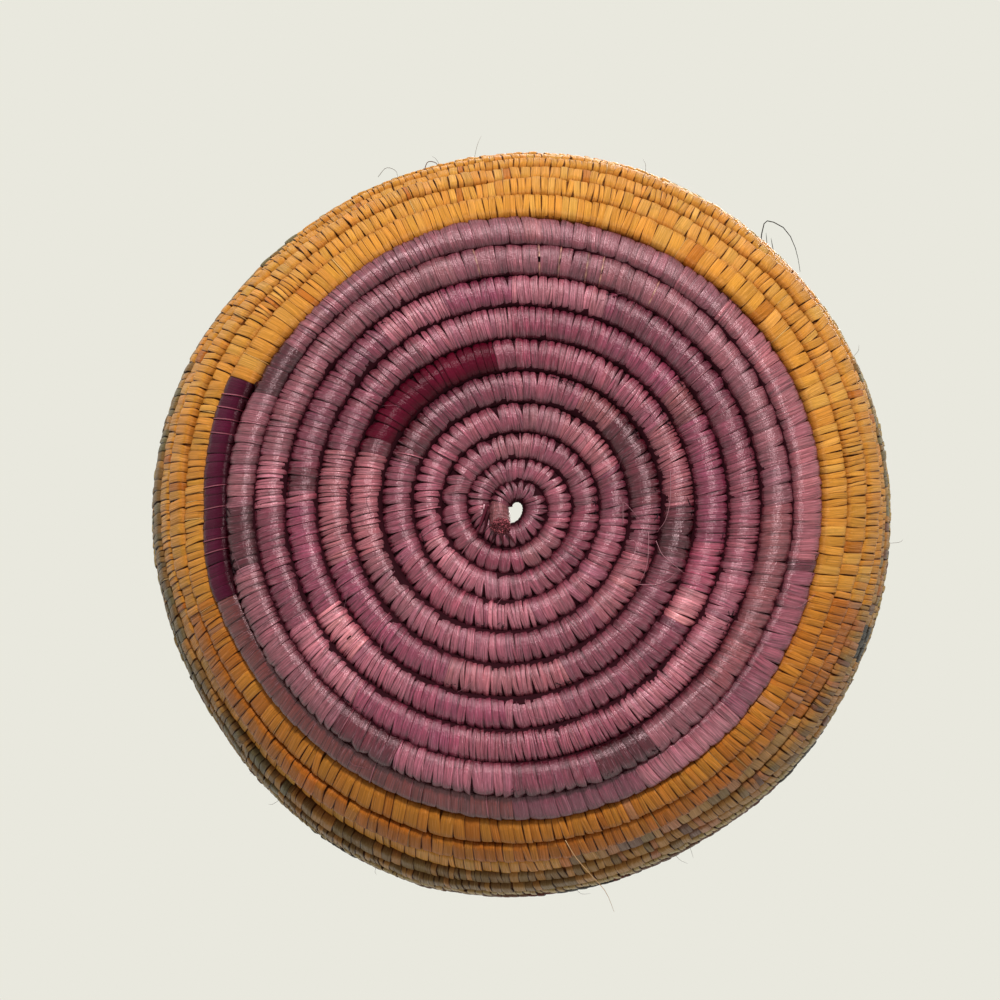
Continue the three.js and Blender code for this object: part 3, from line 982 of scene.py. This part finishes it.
# %% [markdown]
# ## Frayed ends and stray fibres
# Where one strip ends and the next begins, short dark ends stick out of the groove, and here and there
# a hair of leaf has split off and curls away. They are thin closed tubes, far too fine to be felt, but
# without them the work looks machine-made.

# %% Fibres as thin tubes
fibre_sides = 5
fibre_rings = 12
fibre_points, fibre_dye, fibre_strip = [], [], []


def add_fibre(route, radius, colour, flat=1.0):
    line = smooth_route(np.array(route, float), fibre_rings)
    line[:, 2] = np.maximum(line[:, 2], -0.15)
    radii = radius * np.interp(np.linspace(0, 1, fibre_rings), [0, 0.6, 1], [1, 0.9, 0.35])
    fibre_points.append(rings_along(line, radii, fibre_sides, flat))
    fibre_dye.append(colour + 0 * fibre_points[-1])
    fibre_strip.append(0 * fibre_points[-1] + rng.uniform(0, 90))


def beside_coil(turn, across, outward):
    return place(np.array(turn), np.array(across), np.array(outward))


# %% Frayed ends where runs meet
neat_runs = 8
neat_share = 0.42
for turn, _, _ in base_runs[neat_runs:]:
    if rng.uniform() < neat_share:
        continue
    radius, _, _, thickness = path_at(turn)
    for _ in range(rng.integers(5, 16)):
        at = turn + rng.normal(0, 1.1) / (full_turn * radius)
        aim = rng.normal(0, 1.6) / (full_turn * radius)
        half_row = thickness / 2
        route = [
            beside_coil(at, half_row * 0.98, thickness * 0.02),
            beside_coil(at + aim * 0.4, half_row * 0.92, thickness * 0.24),
            beside_coil(at + aim, half_row * rng.uniform(0.5, 0.95), thickness * rng.uniform(0.3, 0.42)),
        ]
        add_fibre(route, rng.uniform(0.08, 0.2), linear("#221219") * rng.uniform(0.4, 2.0))

# %% Hairs that lie across the base, and hairs that stand off the wall
hair_radius = 0.045
base_hair_count = 34
wall_hair_count = 14
for _ in range(base_hair_count):
    turn = rng.uniform(2, 10)
    radius, _, _, thickness = path_at(turn)
    reach = rng.uniform(2, 9)
    bend = rng.normal(0, 3)
    side = rng.choice([-1, 1])
    out = thickness * 0.45
    route = [
        beside_coil(turn, -thickness * 0.45, thickness * 0.2),
        beside_coil(turn + side * reach * 0.3 / (full_turn * radius), bend * 0.2, out),
        beside_coil(turn + side * reach * 0.7 / (full_turn * radius), bend * 0.7, out),
        beside_coil(turn + side * reach / (full_turn * radius), bend, out),
    ]
    add_fibre(route, hair_radius, linear("#8C5A68") * rng.uniform(0.5, 1.8))
for _ in range(wall_hair_count):
    turn = rng.uniform(12, 22)
    radius, _, _, thickness = path_at(turn)
    reach = rng.uniform(1.5, 6)
    lean = rng.normal(0, 2.2) / (full_turn * radius)
    route = [
        beside_coil(turn, thickness * 0.4, thickness * 0.3),
        beside_coil(turn + lean * 0.4, thickness * 0.5, thickness * 0.5 + reach * 0.35),
        beside_coil(turn + lean, thickness * rng.uniform(0.2, 1.0),
                    thickness * 0.5 + reach * rng.uniform(0.5, 0.8)),
    ]
    add_fibre(route, hair_radius, linear("#4A3A32") * rng.uniform(0.5, 2.5))

# %% Torn bits of leaf and one painted highlight beside the cut start, and long hairs that have worked loose
torn_leaves_and_glint = [
    ([(5.9, 0.2), (6.3, -1.4), (7.1, -3.6), (8.0, -6.0)], 0.5, "#5A2030"),
    ([(5.4, -1.4), (5.9, -2.8), (6.2, -4.6), (7.1, -6.6)], 0.45, "#401420"),
    ([(2.8, -6.2), (2.4, -7.4), (2.0, -9.0)], 0.4, "#4A2028"),
    ([(3.9, -5.9), (4.2, -6.9), (4.9, -8.4)], 0.4, "#300C16"),
    ([(1.4, -6.0), (0.6, -6.9), (-0.8, -8.8)], 0.4, "#4A2028"),
    # The last, pale pink bit is a painted highlight: a glint drawn as a pale strip.
    ([(6.4, 0.4), (6.45, -0.4), (6.4, -1.2)], 0.24, "#F0C0CC"),
]
for bends, radius, colour in torn_leaves_and_glint:
    add_fibre([(x, y, 1.9 - 0.35 * math.sin(index + 1)) for index, (x, y) in enumerate(bends)],
              radius, linear(colour), 0.25)

base_hairs = [
    [(-25.4, -4.2), (-25.4, -0.3), (-25.8, 0.6), (-29.4, -3.5)],
    [(-26.8, -8.1), (-28.0, -8.2), (-28.2, -9.8), (-27.2, -12.7), (-24.5, -15.2)],
    [(-36.2, 7.7), (-36.1, 1.8), (-35.1, -3.1), (-33.1, -6.1)],
    [(-32.8, -8.1), (-34.1, -11.1), (-36.1, -13.0), (-39.0, -15.4)],
    [(-28.8, -18.0), (-32.8, -18.0), (-35.4, -17.0), (-37.1, -15.4)],
    [(-31.1, -6.1), (-31.1, -10.1), (-30.6, -14.0), (-29.1, -17.7)],
]
for bends in base_hairs:
    bends = np.array(bends)
    share = np.minimum(1, np.hypot(*bends.T) / dish_radius)
    lying = dish_depth * (1 - share ** 2) ** 2 - 0.1
    add_fibre(np.column_stack([bends, lying]), 0.06, linear("#C08A96"))

wall_hairs = [
    ([(-62.5, 69.0, 50), (-64.2, 72.0, 50), (-65.3, 78.7, 50), (-67.1, 80.0, 50), (-71.4, 77.5, 50),
      (-74.0, 72.0, 50), (-75.0, 66.0, 50)], "#2A2622", 0.16),
    ([(-66.3, 73.0, 50), (-65.9, 76.5, 49)], "#2A2622", 0.1),
    ([(-67.9, 72.0, 50), (-67.2, 75.1, 49)], "#2A2622", 0.1),
    ([(-12.0, -76.0, 3.5), (-14.3, -80.2, 5.5), (-17.6, -84.6, 8.5), (-21.3, -89.9, 14),
      (-23.5, -97.0, 24)], "#D8B080", 0.1),
    ([(39.5, 94.0, 50), (37.3, 96.5, 50), (34.6, 95.6, 50), (34.0, 93.0, 50)], "#5A4030", 0.07),
    ([(26.8, 95.5, 50), (25.7, 98.0, 50), (23.2, 97.4, 50), (23.5, 95.0, 50)], "#6A3828", 0.12),
    ([(13.0, 98.5, 50), (12.2, 102.2, 50), (11.1, 105.0, 50)], "#A09888", 0.06),
]
for route, colour, radius in wall_hairs:
    add_fibre(route, radius, linear(colour))

faces = repeated(tube_faces(fibre_rings, fibre_sides), len(fibre_points), fibre_rings * fibre_sides)
make_piece("stray_fibres", np.array(fibre_points), faces, np.array(fibre_dye), np.array(fibre_strip),
           loose_fibre)
print(len(fibre_points), "fibres")

# %% [markdown]
# ## Camera
# The basket is looked at from below, so the camera stands under the floor and looks up at the base. Two
# small tilts bring the right and the lower side a little nearer. The picture is taken as 1000 pixels
# square, and the shift puts the middle of the coil on its pixel.

# %% Camera under the base
image_size = 1000
coil_pixel = (512.5, 506.4)
focal_pixels = 1250
sensor_width = 36
camera_distance = 289.0
aimed_height = 3.0
tilt_right = math.radians(3.0)
tilt_down = math.radians(3.7)
ahead = Vector((math.sin(tilt_right), math.sin(tilt_down), 0))
ahead.z = math.sqrt(1 - ahead.length_squared)
right = ahead.cross(Vector((0, 1, 0))).normalized()
above = right.cross(ahead)
camera_data = bpy.data.cameras.new("camera")
camera_data.sensor_width = sensor_width
camera_data.lens = focal_pixels * sensor_width / image_size
camera_data.shift_x = (image_size / 2 - coil_pixel[0]) / image_size
camera_data.shift_y = (coil_pixel[1] - image_size / 2) / image_size
camera = bpy.data.objects.new("camera", camera_data)
turned = Matrix((right, above, -ahead)).transposed().to_4x4()
stand = Vector((0, 0, aimed_height)) - camera_distance * ahead
camera.matrix_world = Matrix.Translation(stand * mm) @ turned
bpy.context.scene.collection.objects.link(camera)
bpy.context.scene.camera = camera

# %% [markdown]
# ## Floor, world and lamps
# The floor is a pale sheet that can be seen only from above: its underside is clear, so that the camera
# below sees the base. It takes the basket's shadow, and it throws none itself. The world is pale where
# the camera looks past the basket, and gives the soft light of a bright room from all sides. A strong
# lamp below, from the top of the picture, adds the direction, a weak one from its lower right fills in,
# and one above the floor lights the basket for those who look down at it.

# %% Floor
floor_reach = 3000
floor_height = -0.25
floor_grain = 100


def pale_floor():
    material, tree = new_material("pale painted board")
    seen_from = add_node(tree, "ShaderNodeNewGeometry", {}, {})
    grain = add_node(tree, "ShaderNodeTexNoise",
                     {"Scale": 2 * floor_reach / floor_grain, "Detail": 4.0}, {})
    tone = add_node(tree, "ShaderNodeMapRange", {"To Min": 0.97, "To Max": 1.0},
                    {"Value": grain.outputs["Fac"]})
    colour = add_node(tree, "ShaderNodeVectorMath", {"operation": "SCALE", 0: tuple(linear("#E4E2D8"))},
                      {"Scale": tone.outputs[0]})
    board = add_node(tree, "ShaderNodeBsdfPrincipled", {"Roughness": 0.85},
                     {"Base Color": colour.outputs[0]})
    clear = add_node(tree, "ShaderNodeBsdfTransparent", {}, {})
    either = add_node(tree, "ShaderNodeMixShader", {},
                      {0: seen_from.outputs["Backfacing"], 1: board.outputs[0], 2: clear.outputs[0]})
    add_node(tree, "ShaderNodeOutputMaterial", {}, {"Surface": either.outputs[0]})
    return material


floor_mesh = bpy.data.meshes.new("floor")
corners = [(-floor_reach, -floor_reach), (floor_reach, -floor_reach), (floor_reach, floor_reach),
           (-floor_reach, floor_reach)]
floor_mesh.from_pydata([(x * mm, y * mm, floor_height * mm) for x, y in corners], [], [(0, 1, 2, 3)])
floor_mesh.materials.append(pale_floor())
floor = bpy.data.objects.new("floor", floor_mesh)
bpy.context.scene.collection.objects.link(floor)
floor.visible_shadow = False
floor.visible_diffuse = False
floor.visible_glossy = False
floor.visible_transmission = False

# %% World
world = bpy.data.worlds.new("bright room")
bpy.context.scene.world = world
world.use_nodes = True
sky = world.node_tree
sky.nodes.clear()
path = add_node(sky, "ShaderNodeLightPath", {}, {})
seen = add_node(sky, "ShaderNodeMath", {"operation": "MAXIMUM"},
                {0: path.outputs["Is Camera Ray"], 1: path.outputs["Is Transmission Ray"]})
past = add_node(sky, "ShaderNodeMath", {"operation": "MAXIMUM"},
                {0: seen.outputs[0], 1: path.outputs["Is Glossy Ray"]})
backdrop = add_node(sky, "ShaderNodeBackground", {"Color": (*linear("#E9E8DE"), 1), "Strength": 1.0}, {})
room = add_node(sky, "ShaderNodeBackground", {"Color": (*linear("#FFF9F0"), 1), "Strength": 0.2}, {})
either = add_node(sky, "ShaderNodeMixShader", {},
                  {0: past.outputs[0], 1: room.outputs[0], 2: backdrop.outputs[0]})
add_node(sky, "ShaderNodeOutputWorld", {}, {"Surface": either.outputs[0]})


# %% Lamps
def add_lamp(name, place, size, power):
    lamp_data = bpy.data.lights.new(name, "AREA")
    lamp_data.size = size
    lamp_data.energy = power
    lamp_data.color = linear("#FFFAF4")
    lamp = bpy.data.objects.new(name, lamp_data)
    lamp.location = place
    lamp.rotation_euler = (-Vector(place)).to_track_quat("-Z", "Y").to_euler()
    bpy.context.scene.collection.objects.link(lamp)
    return lamp


add_lamp("lamp_below", (-0.33, 1.90, -2.30), 0.36, 82.0)
add_lamp("lamp_beside", (-0.80, -1.80, -0.85), 1.0, 5.5)
add_lamp("lamp_above", (-0.2, 0.5, 1.4), 0.7, 12.0)
bpy.context.scene.view_settings.view_transform = "Standard"
